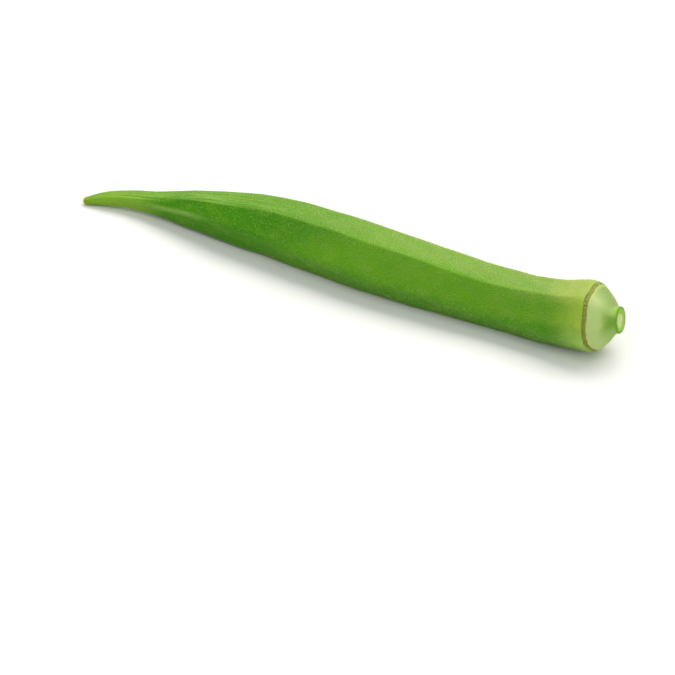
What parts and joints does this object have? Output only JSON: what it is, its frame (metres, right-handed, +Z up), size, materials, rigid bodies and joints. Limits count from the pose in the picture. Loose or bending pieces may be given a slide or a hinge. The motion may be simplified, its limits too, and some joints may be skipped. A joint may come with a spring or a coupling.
{
  "type": "okra pod",
  "caption": "Whole fresh okra pod lying on its side: ridged tapering body, curved beak, rim scar, pale cap and a short cut stalk stub.",
  "frame": {"origin": "under the middle of the pod, on the surface it rests on", "axes": "+X along the pod from the beak to the stalk stub, +Z up, one side of the pod down"},
  "size_m": [0.131, 0.0194, 0.0157],
  "materials": {
    "pod_skin": "matte, finely hairy plant skin"
  },
  "bodies": {
    "root": {"okra_pod": "pod_skin"}
  },
  "joints": []
}
